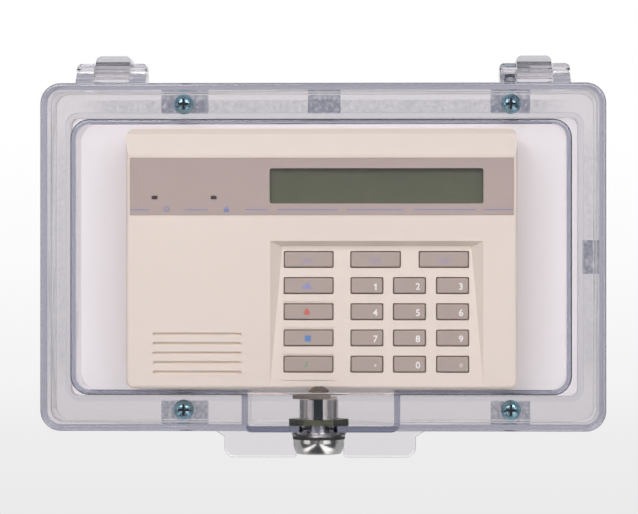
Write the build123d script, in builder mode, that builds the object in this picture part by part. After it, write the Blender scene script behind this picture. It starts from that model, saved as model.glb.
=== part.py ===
from build123d import *
import math
import os

# Clear protective cover for a wall keypad, hinged along its top edge and locked at the bottom.
# All sizes are in millimetres. X runs to the right, Z up, and the wall is the plane y = 0.
# The object stands out from the wall towards -Y, so a depth of d lies at y = -d.

# Keypad case, which everything else is built round
keypad_width = 172.9
keypad_height = 115.0
keypad_shift_x = -0.65
keypad_shift_z = -0.6
keypad_front = 32.0
keypad_wall = 2.5
keypad_corner = 3.4
keypad_edge_round = 1.6
keypad_gap = 0.3
header_drop = 11.7
header_setback = 2.0
header_bevel = 2.4
base_thickness = 2.4
base_rim_wall = 1.8
base_rim_height = 3.0

# Mounting frame: a wall round the backing plate, a channel for the screws, and the outer wall
plate_margin_x = 27.55
plate_margin_z = 5.0
inner_wall = 2.4
inner_wall_top = 11.5
channel_width = 4.65
channel_height = 8.4
frame_wall = 3.2
frame_depth = 20.7
case_corner = 9.0
flange_thickness = 3.0
plate_ledge = 10.0
boss_diameter = 11.0
boss_height = 12.0
block_top = 9.0
left_block_width = 20.7
right_block_width = 17.6
top_block_width = 14.5
side_block_height = 15.2

# Wall screws, by their distance from the case's sides and from the channel's middle
screw_left_inset = 61.35
screw_right_inset = 40.55
screw_offset = 0.6
wall_screw_shank = 4.8
wall_screw_head = 9.1
wall_screw_head_height = 3.1
wall_screw_reach = 22.0
wall_screw_clearance = 0.3
wall_screw_drive = 5.0
drive_slot = 1.1
head_rim_share = 0.3
screw_tip_share = 0.25

# Backing plate
plate_thickness = 2.5
plate_clearance = 0.3
wire_hole_diameter = 22.0

# Cover
cover_wall = 3.0
cover_front = 76.0
parting_gap = 0.3
edge_round = 1.2
shoulder_front = 40.0
shoulder_width = 15.65
shoulder_height = 15.9
dome_corner = 10.0
dome_draft_angle = 2.9
dome_wall = 2.2
window_edge_round = 1.2

# Lock bay
bay_half_width = 33.9
bay_inset = 1.5
bay_front = 71.0
bay_wall = 2.6
bay_corner = 4.0

# Lift tabs, which hang below the case
tab_thickness = 3.0
tab_half_width = 42.6
tab_drop = 12.6
tab_corner = 4.4
tab_inner_corner = 1.5
tab_root_run = 5.4
tab_root_drop = 3.5
tab_notch_half_width = 10.4
tab_notch_drop = 4.0
tab_round = 0.9

# Hinges: two ears on the cover either side of a taller knuckle on the frame
hinge_inset = 30.95
hinge_rise = 4.7
hinge_depth = 28.0
hinge_width = 31.0
knuckle_width = 15.4
knuckle_gap = 0.3
knuckle_radius = 4.1
knuckle_rise = 12.9
knuckle_back = 10.0
knuckle_corner = 2.4
ear_radius = 4.6
ear_corner = 2.6
hinge_pin_diameter = 3.2
hinge_pin_clearance = 0.05
hinge_pin_recess = 0.4
hinge_pin_chamfer = 0.3

# Cam lock
lock_x = -1.5
lock_depth = 45.0
boss_top_diameter = 26.5
boss_low_diameter = 23.2
boss_drop = 3.1
seal_thickness = 1.3
seal_diameter = 22.8
head_diameter = 22.4
head_low_diameter = 19.6
head_height = 6.5
head_straight = 1.6
head_edge_round = 0.8
barrel_diameter = 17.0
barrel_rise = 11.0
barrel_clearance = 0.1
barrel_chamfer = 0.6
groove_width = 4.0
groove_depth = 1.2
nut_corner_diameter = 26.0
nut_thickness = 1.8
plug_diameter = 11.0
plug_clearance = 0.05
plug_flange_diameter = 13.6
plug_flange_height = 1.6
key_slot_width = 2.2
key_slot_length = 8.4
key_slot_depth = 9.0
cam_square = 6.5
cam_square_clearance = 0.05
cam_thickness = 2.0
cam_gap = 0.3
cam_hub_radius = 5.2
cam_reach = 19.4
hook_thickness = 3.0
hook_lead_angle = 14.0
arm_start_angle = -34.0
arm_end_angle = -11.0
cam_screw_head = 9.0
cam_screw_head_height = 2.6
cam_screw_shank = 3.6
cam_screw_length = 8.0
cam_screw_drive = 4.6
screw_thread_clearance = 0.1

# Keeper on the frame, which the cam hooks round
keeper_distance = 14.0
keeper_diameter = 4.0
keeper_over_cam = 0.6
tongue_width = 15.0
tongue_end_margin = 3.0

# Screws of the keypad's base, by their distance from the case's edges
keypad_screw_left_inset = 27.1
keypad_screw_right_inset = 25.8
keypad_screw_top_inset = 10.9
keypad_screw_bottom_inset = 12.1
keypad_screw_head = 6.4
keypad_screw_head_height = 2.2
keypad_screw_shank = 3.0
keypad_screw_drive = 3.4
keypad_screw_length = 4.4

# Overlay, display and lamps
overlay_left_inset = 1.7
overlay_right_inset = 1.6
overlay_drop = 13.1
overlay_height = 25.4
overlay_thickness = 0.5
overlay_clearance = 0.1
display_right_inset = 15.0
display_drop = 4.6
display_width = 94.4
display_height = 15.6
display_corner = 1.1
display_setback = 0.6
display_clearance = 0.1
display_lip = 1.6
display_lip_thickness = 1.0
lcd_margin = 3.0
lcd_thickness = 8.0
lcd_gap = 0.2
lamp_insets = [11.0, 37.1]
lamp_rise_on_overlay = 7.9
lamp_width = 2.4
lamp_height = 1.4
lamp_length = 6.0
lamp_proud = 0.3
lamp_clearance = 0.1

# Speaker and the grooves in front of it
slot_inset = 11.8
slot_width = 39.3
slot_height = 1.65
slot_depth = 1.4
slot_top_rise = 24.7
slot_pitch = 4.2
slot_count = 5
speaker_diameter = 23.0
speaker_depth = 9.0
speaker_ring_wall = 1.5
speaker_ring_height = 4.0
speaker_clearance = 0.2
speaker_cone_depth = 3.0

# Key field: a sloping well in the front of the keypad, deepest at its top
well_right_inset = 15.1
well_bottom_inset = 1.1
well_width = 94.0
well_height = 64.1
well_depth = 5.0
well_top_slope = 2.3
well_side_angle = 47.0
well_wall = 2.2
row_drop = 8.2
row_pitch = 11.55
row_count = 5
key_height = 6.65
left_key_width = 21.3
wide_key_width = 21.5
number_key_width = 13.75
left_key_inset = 16.9
wide_key_insets = [46.5, 76.7]
number_key_insets = [42.7, 61.5, 80.5]
key_corner = 0.7
key_clearance = 0.45
key_rise = 0.9
key_round = 0.5
key_flange = 1.2
key_flange_thickness = 0.9
key_flange_gap = 0.3
key_travel = 1.2
bar_width = 23.4
bar_height = 2.6
bar_rise = 0.5

# Behind the keys
mat_gap = 0.3
mat_pad_diameter = 4.4
mat_pad_height = 1.0
mat_thickness = 1.2
mat_margin = 1.6
board_thickness = 1.6
board_margin = 2.2
post_diameter = 5.0
post_inset = 1.3
board_screw_head = 4.6
board_screw_head_height = 1.8
board_screw_shank = 2.2
board_screw_drive = 2.4
board_screw_length = 5.0

os.makedirs("parts", exist_ok=True)


def front_plane(depth):
    """A plane parallel to the wall at this depth, facing out, with its x along X and its y along Z."""
    return Plane(origin=(0, -depth, 0), x_dir=(1, 0, 0), z_dir=(0, -1, 0))


def level_plane(z):
    """A level plane over the lock's axis, with its x along X and its y along Y."""
    return Plane(origin=(lock_x, -lock_depth, z), x_dir=(1, 0, 0), z_dir=(0, 0, 1))


def side_plane(x):
    """A plane square to X, with its x along the depth and its y along Z."""
    return Plane(origin=(x, 0, 0), x_dir=(0, -1, 0), z_dir=(-1, 0, 0))


# Places worked out from the sizes above
inner_wall_width = keypad_width + 2 * (plate_margin_x + inner_wall)
inner_wall_height = keypad_height + 2 * (plate_margin_z + inner_wall)
case_width = inner_wall_width + 2 * (channel_width + frame_wall)
case_height = inner_wall_height + 2 * (channel_height + frame_wall)
half_width = case_width / 2
half_height = case_height / 2
channel_x = (inner_wall_width + channel_width) / 2
channel_z = (inner_wall_height + channel_height) / 2
screw_z = channel_z - screw_offset
screw_xs = (screw_left_inset - half_width, half_width - screw_right_inset)
screw_places = [(x, z) for x in screw_xs for z in (screw_z, -screw_z)]
plate_front = flange_thickness + plate_thickness
cover_back = frame_depth + parting_gap
shoulder_back = shoulder_front - cover_wall
dome_width = case_width - 2 * shoulder_width
dome_height = case_height - 2 * shoulder_height
window_back = cover_front - dome_wall
hinge_x = half_width - hinge_inset
hinge_z = half_height + hinge_rise
knuckle_top = half_height + knuckle_rise
pin_hole_radius = hinge_pin_diameter / 2 + hinge_pin_clearance
ear_width = (hinge_width - knuckle_width) / 2 - knuckle_gap
bay_bottom = bay_inset - half_height
bay_floor = bay_bottom + bay_wall
tab_bottom = -half_height - tab_drop
tab_root_half_width = tab_half_width + tab_root_run
nut_top = bay_floor + nut_thickness
boss_bottom = bay_bottom - boss_drop
head_top = boss_bottom - seal_thickness
head_bottom = head_top - head_height
barrel_top = bay_floor + barrel_rise
cam_bottom = barrel_top + cam_gap
cam_top = cam_bottom + cam_thickness
keeper_depth = lock_depth - keeper_distance
keeper_top = cam_top + keeper_over_cam
keypad_left = keypad_shift_x - keypad_width / 2
keypad_right = keypad_shift_x + keypad_width / 2
keypad_top = keypad_shift_z + keypad_height / 2
keypad_bottom = keypad_shift_z - keypad_height / 2
keypad_centre = (keypad_shift_x, keypad_shift_z)
keypad_back = plate_front + keypad_gap
header_bottom = keypad_top - header_drop
base_front = plate_front + base_thickness
cavity_front = keypad_front - keypad_wall
keypad_screw_places = [
    (x, z)
    for x in (keypad_left + keypad_screw_left_inset, keypad_right - keypad_screw_right_inset)
    for z in (keypad_top - keypad_screw_top_inset, keypad_bottom + keypad_screw_bottom_inset)
]
overlay_left = keypad_left + overlay_left_inset
overlay_width = keypad_width - overlay_left_inset - overlay_right_inset
overlay_top = keypad_top - overlay_drop
overlay_centre = (overlay_left + overlay_width / 2, overlay_top - overlay_height / 2)
display_centre = (
    keypad_right - display_right_inset - display_width / 2,
    overlay_top - display_drop - display_height / 2,
)
lamp_z = overlay_top - overlay_height + lamp_rise_on_overlay
lamp_places = [(overlay_left + inset, lamp_z) for inset in lamp_insets]
slot_middle_x = keypad_left + slot_inset + slot_width / 2
slot_top = keypad_bottom + slot_top_rise
slot_places = [
    (slot_middle_x, slot_top - slot_height / 2 - row * slot_pitch) for row in range(slot_count)
]
speaker_place = slot_places[slot_count // 2]
well_right = keypad_right - well_right_inset
well_left = well_right - well_width
well_mid_x = (well_left + well_right) / 2
well_bottom = keypad_bottom + well_bottom_inset
well_top = well_bottom + well_height
well_tilt = math.atan2(well_depth, well_height)
well_plane = Plane(
    origin=(0, -(keypad_front - well_depth), well_top),
    x_dir=(1, 0, 0),
    z_dir=(0, -math.cos(well_tilt), math.sin(well_tilt)),
)
left_key_x = well_left + left_key_inset
wide_key_xs = [well_left + inset for inset in wide_key_insets]
number_key_xs = [well_left + inset for inset in number_key_insets]
flange_front = -(well_wall + key_flange_gap)
flange_back = flange_front - key_flange_thickness
pad_top = flange_back - key_travel - mat_gap
mat_front = pad_top - mat_pad_height
mat_back = mat_front - mat_thickness
board_back = mat_back - board_thickness


def down_well(z):
    """Where a height z falls along the sloping floor of the key well."""
    return (z - well_top) / math.cos(well_tilt)


# Keys by name, each with its centre on the well's floor and its width
rows = [down_well(well_top - row_drop - row * row_pitch) for row in range(row_count)]
number_names = [["1", "2", "3"], ["4", "5", "6"], ["7", "8", "9"], ["star", "0", "hash"]]
keys = {f"key_function_{row + 1}": (left_key_x, y, left_key_width) for row, y in enumerate(rows)}
keys["key_wide_left"] = (wide_key_xs[0], rows[0], wide_key_width)
keys["key_wide_right"] = (wide_key_xs[1], rows[0], wide_key_width)
for row, names in enumerate(number_names):
    for column, name in enumerate(names):
        keys[f"key_{name}"] = (number_key_xs[column], rows[row + 1], number_key_width)
bar_places = [(left_key_x, (rows[row] + rows[row + 1]) / 2) for row in range(1, row_count - 1)]
bar_places.append((left_key_x, rows[-1] - row_pitch / 2))
post_places = [
    (x, y)
    for x in (well_left + post_inset, well_right - post_inset)
    for y in (rows[0] + key_height / 2, rows[-1] - key_height / 2)
]


def pan_screw(head, head_height, shank, length, drive):
    """A domed cross drive screw with its seat on z = 0 and its shank below."""
    rim = head_height * head_rim_share
    dome_mid = (head / 2 * math.sqrt(0.5), rim + (head_height - rim) * math.sqrt(0.5))
    with BuildPart() as screw:
        with BuildSketch(Plane.XZ):
            with BuildLine():
                Polyline(
                    (0, head_height),
                    (0, -length),
                    (shank / 2 * screw_tip_share, -length),
                    (shank / 2, shank - length),
                    (shank / 2, 0),
                    (head / 2, 0),
                    (head / 2, rim),
                )
                ThreePointArc((head / 2, rim), dome_mid, (0, head_height))
            make_face()
        revolve(axis=Axis.Z)
        with BuildSketch(Plane.XY.offset(head_height / 2)):
            Rectangle(drive, drive_slot)
            Rectangle(drive_slot, drive)
        extrude(amount=head_height, mode=Mode.SUBTRACT)
    return screw.part


# Hinge knuckles of the frame, whose tall backs stop the open cover
with BuildPart() as hinge_knuckles:
    for centre in (-hinge_x, hinge_x):
        with BuildSketch(side_plane(centre)):
            with BuildLine():
                Polyline(
                    (hinge_depth, hinge_z - knuckle_radius),
                    (frame_depth, hinge_z - knuckle_radius),
                    (frame_depth, half_height - frame_wall),
                    (knuckle_back, half_height - frame_wall),
                    (knuckle_back, knuckle_top - knuckle_corner),
                    (knuckle_back + knuckle_corner, knuckle_top),
                    (hinge_depth - knuckle_radius, knuckle_top),
                )
                Line((hinge_depth - knuckle_radius, knuckle_top), (hinge_depth + knuckle_radius, hinge_z))
                RadiusArc(
                    (hinge_depth + knuckle_radius, hinge_z),
                    (hinge_depth, hinge_z - knuckle_radius),
                    knuckle_radius,
                )
            make_face()
        extrude(amount=knuckle_width / 2, both=True)
    knuckle_middle = (knuckle_top + half_height) / 2 - knuckle_corner
    with BuildSketch(front_plane(0)):
        with Locations((-hinge_x, knuckle_middle), (hinge_x, knuckle_middle)):
            RectangleRounded(knuckle_width, 2 * (knuckle_top - knuckle_middle), knuckle_corner)
    extrude(amount=cover_front, mode=Mode.INTERSECT)

# Mounting frame
with BuildPart() as mounting_frame:
    with BuildSketch(front_plane(0)):
        RectangleRounded(case_width, case_height, case_corner)
    extrude(amount=frame_depth)
    with BuildSketch(front_plane(flange_thickness)):
        RectangleRounded(
            case_width - 2 * frame_wall, case_height - 2 * frame_wall, case_corner - frame_wall
        )
    extrude(amount=frame_depth, mode=Mode.SUBTRACT)
    # The wall round the backing plate, which also makes the screw channel
    with BuildSketch(front_plane(flange_thickness)):
        RectangleRounded(inner_wall_width, inner_wall_height, case_corner - frame_wall)
        RectangleRounded(
            inner_wall_width - 2 * inner_wall,
            inner_wall_height - 2 * inner_wall,
            case_corner - frame_wall - inner_wall,
            mode=Mode.SUBTRACT,
        )
    extrude(amount=inner_wall_top - flange_thickness)
    # The opening behind the backing plate
    with BuildSketch(front_plane(0)):
        RectangleRounded(
            inner_wall_width - 2 * (inner_wall + plate_ledge),
            inner_wall_height - 2 * (inner_wall + plate_ledge),
            case_corner - frame_wall,
        )
    extrude(amount=flange_thickness, mode=Mode.SUBTRACT)
    # Blocks in the channel, round the screws and between them
    with BuildSketch(front_plane(flange_thickness)):
        for side in (1, -1):
            with Locations((screw_xs[0], side * channel_z)):
                Rectangle(left_block_width, channel_height)
            with Locations((screw_xs[1], side * channel_z)):
                Rectangle(right_block_width, channel_height)
        with Locations((0, channel_z)):
            Rectangle(top_block_width, channel_height)
        with Locations((channel_x, 0)):
            Rectangle(channel_width, side_block_height)
    extrude(amount=block_top - flange_thickness)
    with BuildSketch(front_plane(flange_thickness)):
        with Locations(*screw_places):
            Circle(boss_diameter / 2)
    extrude(amount=boss_height - flange_thickness)
    with BuildSketch(front_plane(0)):
        with Locations(*screw_places):
            Circle(wall_screw_shank / 2 + wall_screw_clearance)
    extrude(amount=boss_height, mode=Mode.SUBTRACT)
    add(hinge_knuckles.part)
    for centre in (-hinge_x, hinge_x):
        with BuildSketch(side_plane(centre)):
            with Locations((hinge_depth, hinge_z)):
                Circle(pin_hole_radius)
        extrude(amount=hinge_width / 2, both=True, mode=Mode.SUBTRACT)
    # Keeper: a tongue in line with the inner wall, and the post that the cam hooks round
    tongue_bottom = -inner_wall_height / 2
    with BuildSketch(level_plane(tongue_bottom)):
        with Locations((0, keeper_distance + (keeper_depth - flange_thickness) / 2)):
            Rectangle(tongue_width, keeper_depth - flange_thickness)
        with Locations((0, keeper_distance)):
            Rectangle(tongue_width, 2 * tongue_end_margin)
    extrude(amount=inner_wall)
    with BuildSketch(level_plane(tongue_bottom)):
        with Locations((0, keeper_distance)):
            Circle(keeper_diameter / 2)
    extrude(amount=keeper_top - tongue_bottom)
mounting_frame.part.label = "mounting_frame"
export_step(mounting_frame.part, "parts/mounting_frame.step")

# Backing plate
with BuildPart() as backing_plate:
    with BuildSketch(front_plane(flange_thickness)):
        RectangleRounded(
            inner_wall_width - 2 * (inner_wall + plate_clearance),
            inner_wall_height - 2 * (inner_wall + plate_clearance),
            case_corner - frame_wall - inner_wall,
        )
        Circle(wire_hole_diameter / 2, mode=Mode.SUBTRACT)
        with Locations(*keypad_screw_places):
            Circle(keypad_screw_shank / 2 + screw_thread_clearance, mode=Mode.SUBTRACT)
    extrude(amount=plate_thickness)
backing_plate.part.label = "backing_plate"
export_step(backing_plate.part, "parts/backing_plate.step")

# Wall screws
wall_screw = pan_screw(
    wall_screw_head,
    wall_screw_head_height,
    wall_screw_shank,
    boss_height + wall_screw_reach,
    wall_screw_drive,
)
with BuildPart() as wall_screws:
    with Locations(front_plane(boss_height)):
        with Locations(*screw_places):
            add(wall_screw)
wall_screws.part.label = "wall_screws"
export_step(wall_screws.part, "parts/wall_screws.step")

# Hinge pins
for pin_name, pin_x in {"hinge_pin_left": -hinge_x, "hinge_pin_right": hinge_x}.items():
    with BuildPart() as hinge_pin:
        with BuildSketch(side_plane(pin_x)):
            with Locations((hinge_depth, hinge_z)):
                Circle(hinge_pin_diameter / 2)
        extrude(amount=hinge_width / 2 - hinge_pin_recess, both=True)
        chamfer(hinge_pin.edges().filter_by(GeomType.CIRCLE), hinge_pin_chamfer)
    hinge_pin.part.label = pin_name
    export_step(hinge_pin.part, f"parts/{pin_name}.step")

# Hinge ears of the cover, braced forward into its top edge
ear_offset = (hinge_width - ear_width) / 2
with BuildPart() as hinge_ears:
    for ear_x in [x + side * ear_offset for x in (-hinge_x, hinge_x) for side in (-1, 1)]:
        with BuildSketch(side_plane(ear_x)):
            with Locations((hinge_depth, hinge_z)):
                Circle(ear_radius)
            with BuildLine():
                Polyline(
                    (hinge_depth - ear_radius, hinge_z),
                    (hinge_depth + ear_radius, hinge_z),
                    (shoulder_front - edge_round, half_height),
                    (shoulder_front - edge_round, half_height - cover_wall),
                    (hinge_depth - ear_radius, half_height - cover_wall),
                    close=True,
                )
            make_face()
        extrude(amount=ear_width / 2, both=True)
    ear_middle = hinge_z + ear_radius - 2 * ear_width
    with BuildSketch(front_plane(0)):
        with Locations((-hinge_x, ear_middle), (hinge_x, ear_middle)):
            RectangleRounded(hinge_width, 4 * ear_width, ear_corner)
    extrude(amount=cover_front, mode=Mode.INTERSECT)

# Lift tabs below the case, with roots that slope into its bottom edge and a notch for the lock
with BuildPart() as lift_tabs:
    with BuildSketch(front_plane(cover_back)) as tab_outline:
        with BuildLine():
            Polyline(
                (lock_x - tab_root_half_width, cover_wall - half_height),
                (lock_x - tab_root_half_width, -half_height),
                (lock_x - tab_half_width, -half_height - tab_root_drop),
                (lock_x - tab_half_width, tab_bottom),
                (lock_x - tab_notch_half_width, tab_bottom),
                (lock_x - tab_notch_half_width, -half_height - tab_notch_drop),
                (lock_x + tab_notch_half_width, -half_height - tab_notch_drop),
                (lock_x + tab_notch_half_width, tab_bottom),
                (lock_x + tab_half_width, tab_bottom),
                (lock_x + tab_half_width, -half_height - tab_root_drop),
                (lock_x + tab_root_half_width, -half_height),
                (lock_x + tab_root_half_width, cover_wall - half_height),
                close=True,
            )
        make_face()
        tab_ends = tab_outline.vertices().group_by(Axis.Y)[0].sort_by(Axis.X)
        fillet([tab_ends[0], tab_ends[-1]], tab_corner)
        tab_ends = tab_outline.vertices().group_by(Axis.Y)[0].sort_by(Axis.X)
        fillet([tab_ends[1], tab_ends[2]], tab_inner_corner)
    extrude(amount=tab_thickness)
    # Both faces' edges are rounded, but for the two that lie in the cover's wall
    fillet(lift_tabs.faces().filter_by(Axis.Y).edges().sort_by(Axis.Z)[:-2], tab_round)

# Cover
with BuildPart() as cover_shell:
    with BuildSketch(front_plane(cover_back)):
        RectangleRounded(case_width, case_height, case_corner)
    extrude(amount=shoulder_front - cover_back)
    fillet(cover_shell.faces().sort_by(Axis.Y)[0].edges(), edge_round)
    with BuildSketch(front_plane(shoulder_front)):
        RectangleRounded(dome_width, dome_height, dome_corner)
    extrude(amount=cover_front - shoulder_front, taper=dome_draft_angle)
    fillet(cover_shell.faces().sort_by(Axis.Y)[0].edges(), window_edge_round)
    # Bay for the lock, standing out of the shoulder below the window
    with BuildSketch(front_plane(shoulder_back)) as bay_outline:
        with Locations((0, bay_bottom / 2)):
            Rectangle(2 * bay_half_width, -bay_bottom)
        fillet(bay_outline.vertices().group_by(Axis.Y)[0], bay_corner)
    extrude(amount=bay_front - shoulder_back)
    add(lift_tabs.part)
    # Tapered boss for the lock, under the bay
    with BuildSketch(level_plane(bay_bottom)):
        Circle(boss_top_diameter / 2)
    with BuildSketch(level_plane(boss_bottom)):
        Circle(boss_low_diameter / 2)
    loft()
    # Hollows of the skirt, the dome and the bay, leaving a shelf behind the lock's nut
    with BuildSketch(front_plane(cover_back)):
        RectangleRounded(
            case_width - 2 * cover_wall, case_height - 2 * cover_wall, case_corner - cover_wall
        )
        with Locations((lock_x, -half_height)):
            Rectangle(boss_top_diameter, 2 * (half_height + bay_floor), mode=Mode.SUBTRACT)
    extrude(amount=shoulder_back - cover_back, mode=Mode.SUBTRACT)
    with BuildSketch(front_plane(shoulder_back)):
        RectangleRounded(
            dome_width - 2 * dome_wall, dome_height - 2 * dome_wall, dome_corner - dome_wall
        )
    extrude(amount=window_back - shoulder_back, taper=dome_draft_angle, mode=Mode.SUBTRACT)
    with BuildSketch(front_plane(shoulder_back)) as bay_hollow:
        with Locations((0, bay_floor / 2)):
            Rectangle(2 * (bay_half_width - bay_wall), -bay_floor)
        fillet(bay_hollow.vertices().group_by(Axis.Y)[0], bay_corner - bay_wall)
    extrude(amount=bay_front - bay_wall - shoulder_back, mode=Mode.SUBTRACT)
    with BuildSketch(level_plane(boss_bottom)):
        Circle(barrel_diameter / 2 + barrel_clearance)
    extrude(amount=bay_floor - boss_bottom, mode=Mode.SUBTRACT)
    # Hinge ears with their pin holes
    add(hinge_ears.part)
    for centre in (-hinge_x, hinge_x):
        with BuildSketch(side_plane(centre)):
            with Locations((hinge_depth, hinge_z)):
                Circle(pin_hole_radius)
        extrude(amount=hinge_width / 2, both=True, mode=Mode.SUBTRACT)
cover_shell.part.label = "cover_shell"
export_step(cover_shell.part, "parts/cover_shell.step")

# Lock body: domed head outside, barrel through the cover
lock_section = Plane(origin=(lock_x, -lock_depth, 0), x_dir=(1, 0, 0), z_dir=(0, -1, 0))
lock_axis = Axis((lock_x, -lock_depth, 0), (0, 0, 1))
head_bulge = (head_diameter + head_low_diameter) / 4 + (head_diameter - head_low_diameter) / 8
with BuildPart() as lock_body:
    with BuildSketch(lock_section):
        with BuildLine():
            Polyline(
                (0, head_bottom),
                (0, barrel_top),
                (barrel_diameter / 2 - barrel_chamfer, barrel_top),
                (barrel_diameter / 2, barrel_top - barrel_chamfer),
                (barrel_diameter / 2, head_top),
                (head_diameter / 2, head_top),
                (head_diameter / 2, head_top - head_straight),
            )
            ThreePointArc(
                (head_diameter / 2, head_top - head_straight),
                (head_bulge, (head_top - head_straight + head_bottom) / 2),
                (head_low_diameter / 2, head_bottom),
            )
            Line((head_low_diameter / 2, head_bottom), (0, head_bottom))
        make_face()
    revolve(axis=lock_axis)
    fillet(
        lock_body.faces().sort_by(Axis.Z)[0].edges().filter_by(GeomType.CIRCLE), head_edge_round
    )
    with BuildSketch(level_plane(barrel_top)):
        with Locations((0, -barrel_diameter / 2)):
            Rectangle(groove_width, 2 * groove_depth)
    extrude(amount=nut_top - barrel_top, mode=Mode.SUBTRACT)
    with BuildSketch(level_plane(head_bottom)):
        Circle(plug_flange_diameter / 2 + plug_clearance)
    extrude(amount=plug_flange_height + plug_clearance, mode=Mode.SUBTRACT)
    with BuildSketch(level_plane(head_bottom)):
        Circle(plug_diameter / 2 + plug_clearance)
    extrude(amount=barrel_top - head_bottom, mode=Mode.SUBTRACT)
lock_body.part.label = "lock_body"
export_step(lock_body.part, "parts/lock_body.step")

# Rubber ring under the head
with BuildPart() as lock_washer:
    with BuildSketch(level_plane(head_top)):
        Circle(seal_diameter / 2)
        Circle(barrel_diameter / 2 + barrel_clearance, mode=Mode.SUBTRACT)
    extrude(amount=seal_thickness)
lock_washer.part.label = "lock_washer"
export_step(lock_washer.part, "parts/lock_washer.step")

# Thin nut that clamps the barrel to the floor of the bay
with BuildPart() as lock_nut:
    with BuildSketch(level_plane(bay_floor)):
        RegularPolygon(nut_corner_diameter / 2, 6)
        Circle(barrel_diameter / 2 + barrel_clearance, mode=Mode.SUBTRACT)
    extrude(amount=nut_thickness)
lock_nut.part.label = "lock_nut"
export_step(lock_nut.part, "parts/lock_nut.step")

# Plug that the key turns, with the key's slot below and a square for the cam above
with BuildPart() as lock_plug:
    with BuildSketch(level_plane(head_bottom)):
        Circle(plug_flange_diameter / 2)
    extrude(amount=plug_flange_height)
    with BuildSketch(level_plane(head_bottom)):
        Circle(plug_diameter / 2)
    extrude(amount=cam_bottom - head_bottom)
    with BuildSketch(level_plane(cam_bottom)):
        Rectangle(cam_square, cam_square)
    extrude(amount=cam_thickness)
    with BuildSketch(level_plane(head_bottom)):
        SlotOverall(key_slot_length, key_slot_width)
    extrude(amount=key_slot_depth, mode=Mode.SUBTRACT)
    with BuildSketch(level_plane(cam_top)):
        Circle(cam_screw_shank / 2 + screw_thread_clearance)
    extrude(amount=-(cam_screw_length + cam_gap), mode=Mode.SUBTRACT)
lock_plug.part.label = "lock_plug"
export_step(lock_plug.part, "parts/lock_plug.step")


def bearing(angle, radius):
    """A point round the lock's axis, by the angle in degrees from straight out of the wall."""
    turn = math.radians(angle)
    return (radius * math.sin(turn), -radius * math.cos(turn))


# Cam: an arm from the hub to a hook, which points out of the wall while unlocked
far = 2 * cam_reach
with BuildPart() as lock_cam:
    with BuildSketch(level_plane(cam_bottom)):
        Circle(cam_reach)
        with BuildLine():
            Polyline((0, 0), bearing(arm_start_angle, far), bearing(hook_lead_angle, far), close=True)
        make_face(mode=Mode.INTERSECT)
    extrude(amount=cam_thickness)
    # The slot that the keeper's post enters from the side
    with BuildSketch(level_plane(cam_bottom)):
        Circle(cam_reach - hook_thickness)
        with BuildLine():
            Polyline((0, 0), bearing(arm_end_angle, far), bearing(2 * hook_lead_angle, far), close=True)
        make_face(mode=Mode.INTERSECT)
    extrude(amount=cam_thickness, mode=Mode.SUBTRACT)
    with BuildSketch(level_plane(cam_bottom)):
        Circle(cam_hub_radius)
    extrude(amount=cam_thickness)
    with BuildSketch(level_plane(cam_bottom)):
        Rectangle(cam_square + 2 * cam_square_clearance, cam_square + 2 * cam_square_clearance)
    extrude(amount=cam_thickness, mode=Mode.SUBTRACT)
lock_cam.part.label = "lock_cam"
export_step(lock_cam.part, "parts/lock_cam.step")

# Cam screw
cam_screw_blank = pan_screw(
    cam_screw_head, cam_screw_head_height, cam_screw_shank, cam_screw_length, cam_screw_drive
)
with BuildPart() as cam_screw:
    with Locations(level_plane(cam_top)):
        add(cam_screw_blank)
cam_screw.part.label = "cam_screw"
export_step(cam_screw.part, "parts/cam_screw.step")

# Keypad base, screwed through the backing plate
base_outline = (
    keypad_width - 2 * (keypad_wall + keypad_gap),
    keypad_height - 2 * (keypad_wall + keypad_gap),
)
with BuildPart() as keypad_base:
    with BuildSketch(front_plane(plate_front)):
        with Locations(keypad_centre):
            RectangleRounded(*base_outline, keypad_corner / 2)
        Circle(wire_hole_diameter / 2, mode=Mode.SUBTRACT)
        with Locations(*keypad_screw_places):
            Circle(keypad_screw_shank / 2 + screw_thread_clearance, mode=Mode.SUBTRACT)
    extrude(amount=base_thickness)
    with BuildSketch(front_plane(base_front)):
        with Locations(keypad_centre):
            RectangleRounded(*base_outline, keypad_corner / 2)
            Rectangle(
                base_outline[0] - 2 * base_rim_wall,
                base_outline[1] - 2 * base_rim_wall,
                mode=Mode.SUBTRACT,
            )
    extrude(amount=base_rim_height)
keypad_base.part.label = "keypad_base"
export_step(keypad_base.part, "parts/keypad_base.step")

# Screws that hold the keypad's base to the backing plate
keypad_screw = pan_screw(
    keypad_screw_head,
    keypad_screw_head_height,
    keypad_screw_shank,
    keypad_screw_length,
    keypad_screw_drive,
)
with BuildPart() as keypad_screws:
    with Locations(front_plane(base_front)):
        with Locations(*keypad_screw_places):
            add(keypad_screw)
keypad_screws.part.label = "keypad_screws"
export_step(keypad_screws.part, "parts/keypad_screws.step")

# The space of the key well, with sloping sides that die out at its bottom
well_top_depth = well_depth * (1 - well_top_slope / well_height)
into_well = Plane(origin=(well_mid_x, -keypad_front, 0), x_dir=(1, 0, 0), z_dir=(0, 1, 0))
with BuildPart() as key_well:
    with BuildSketch(side_plane(well_mid_x)):
        with BuildLine():
            Polyline(
                (keypad_front, well_top),
                (keypad_front - well_top_depth, well_top - well_top_slope),
                (keypad_front, well_bottom),
                close=True,
            )
        make_face()
    extrude(amount=well_width / 2, both=True)
    with BuildSketch(into_well):
        Rectangle(well_width, 2 * keypad_height)
    extrude(amount=well_depth, taper=well_side_angle, mode=Mode.INTERSECT)

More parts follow.
